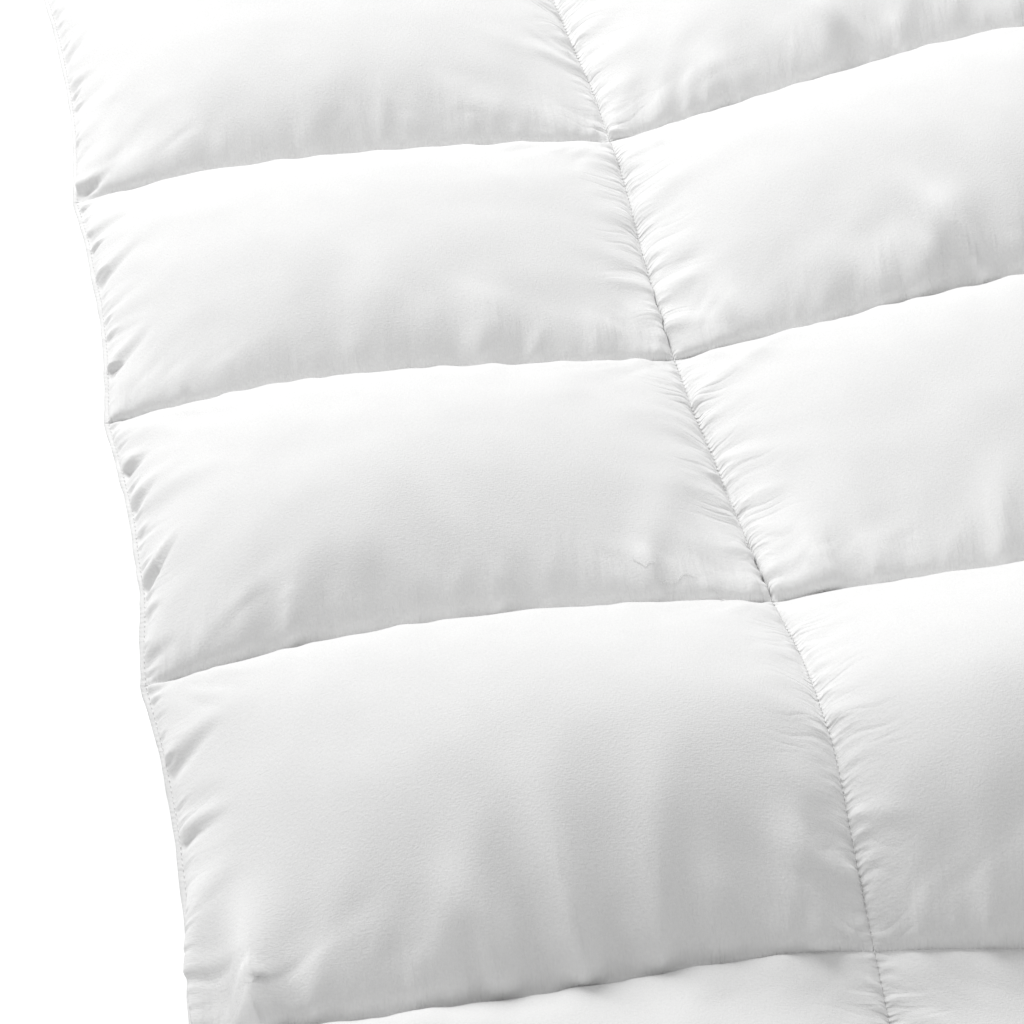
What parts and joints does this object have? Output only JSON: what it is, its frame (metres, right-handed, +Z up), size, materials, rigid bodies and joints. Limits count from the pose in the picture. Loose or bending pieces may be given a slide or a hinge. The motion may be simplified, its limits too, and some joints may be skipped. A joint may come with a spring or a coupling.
{
  "type": "quilt",
  "caption": "Puffy white box-stitched quilt with crowned oblong pockets, sewn channels and a flat stitched hem, laid out on a surface.",
  "frame": {"origin": "on the surface the quilt lies on, under the middle of its outline", "axes": "+Y along the quilt's length, +X across it, +Z up"},
  "size_m": [1.5, 2, 0.1371],
  "materials": {
    "white_cotton": "fine plain-woven white cotton over a soft fibre filling, matt, sewn with white thread"
  },
  "bodies": {
    "root": {"quilt": "white_cotton"}
  },
  "joints": []
}
